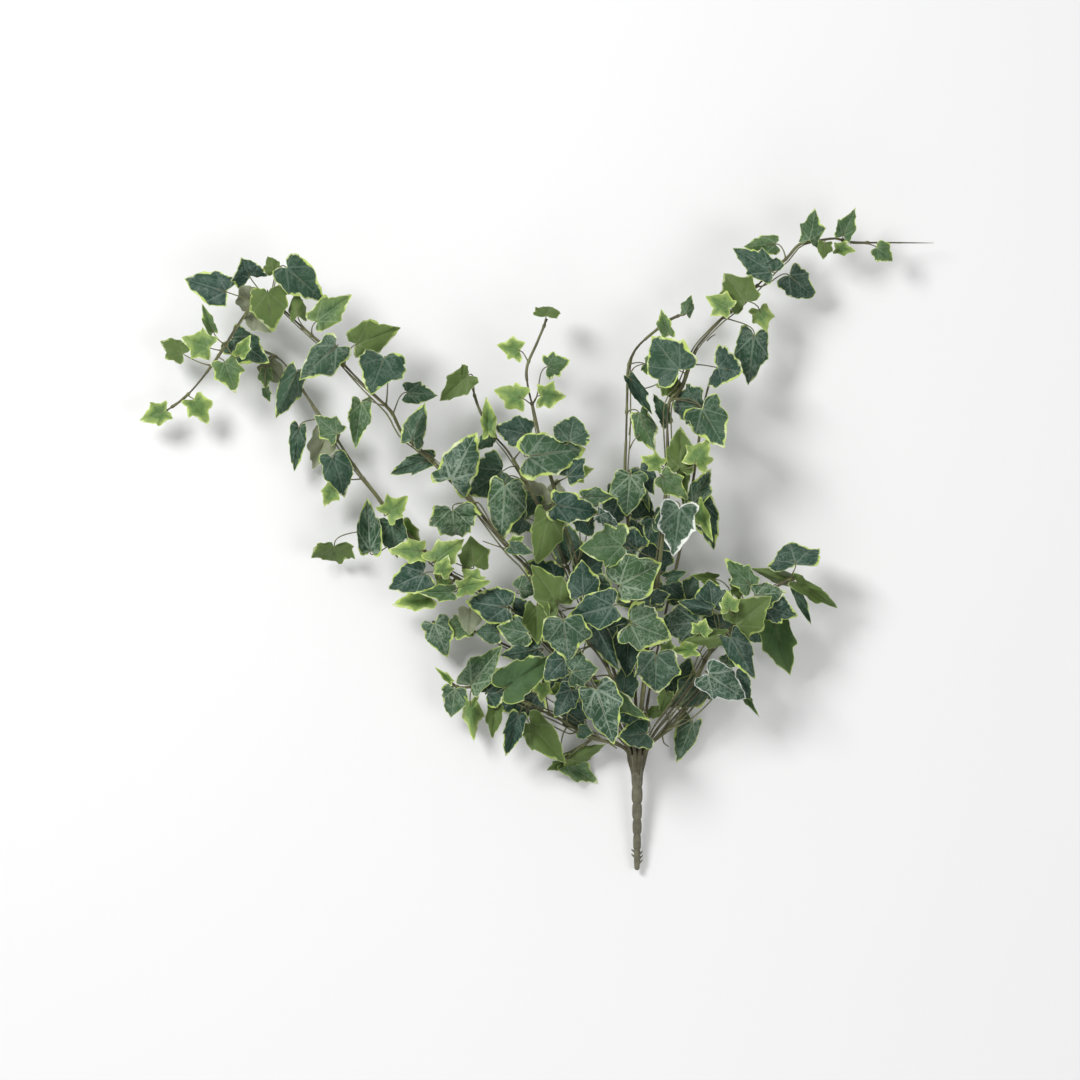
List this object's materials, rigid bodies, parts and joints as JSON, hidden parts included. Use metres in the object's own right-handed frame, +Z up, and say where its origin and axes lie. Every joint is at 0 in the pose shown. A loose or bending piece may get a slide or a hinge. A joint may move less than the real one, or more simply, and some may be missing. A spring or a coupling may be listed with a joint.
{
  "type": "artificial ivy bush",
  "caption": "Artificial variegated ivy bush: wired stems with sprays of lobed leaves spreading from a beaded plastic stake, lying on its side.",
  "frame": {"origin": "middle of the bush's outline on the surface it lies on", "axes": "+Z up from the surface, -Y the way the stake points, +X to the right seen from above with the stake at the bottom"},
  "size_m": [0.7972, 0.6648, 0.1274],
  "materials": {
    "stake": "satin olive grey",
    "stem": "matte brown olive",
    "leaf_dark": "printed cloth, dark green with pale veins",
    "leaf_grey": "printed cloth, grey green with pale blotches",
    "leaf_light": "printed cloth, light yellow green"
  },
  "bodies": {
    "root": {"stake": "stake", "stem_A": "stem", "stem_B": "stem", "stem_C": "stem", "stem_D": "stem", "stem_E": "stem", "stem_F": "stem", "stem_G": "stem", "stem_H": "stem", "stem_I": "stem", "stem_J": "stem", "stem_K": "stem", "stem_M": "stem", "stem_N": "stem", "stem_P": "stem", "spray_A1": "leaf_light", "spray_A2": "leaf_light", "spray_A3": "leaf_grey", "spray_A4": "leaf_grey", "spray_A5": "leaf_dark", "spray_A6": "leaf_dark", "spray_B1": "leaf_light", "spray_B2": "leaf_dark", "spray_B3": "leaf_dark", "spray_B4": "leaf_grey", "spray_B5": "leaf_light", "spray_C1": "leaf_grey", "spray_C2": "leaf_dark", "spray_C3": "leaf_dark", "spray_D1": "leaf_grey", "spray_D2": "leaf_light", "spray_D3": "leaf_grey", "spray_D4": "leaf_grey", "spray_E1": "leaf_light", "spray_E2": "leaf_light", "spray_E3": "leaf_grey", "spray_F1": "leaf_light", "spray_F2": "leaf_grey", "spray_F3": "leaf_grey", "spray_F4": "leaf_dark", "spray_F5": "leaf_grey", "spray_F6": "leaf_dark", "spray_J1": "leaf_grey", "spray_J2": "leaf_dark", "spray_G1": "leaf_dark", "spray_G2": "leaf_grey", "spray_G3": "leaf_grey", "spray_K1": "leaf_dark", "spray_P1": "leaf_grey", "spray_P2": "leaf_grey", "spray_H1": "leaf_grey", "spray_H2": "leaf_grey", "spray_H3": "leaf_dark", "spray_I1": "leaf_dark", "spray_I2": "leaf_dark", "spray_M1": "leaf_dark", "spray_M2": "leaf_grey", "spray_N1": "leaf_grey", "spray_N2": "leaf_dark"}
  },
  "joints": []
}
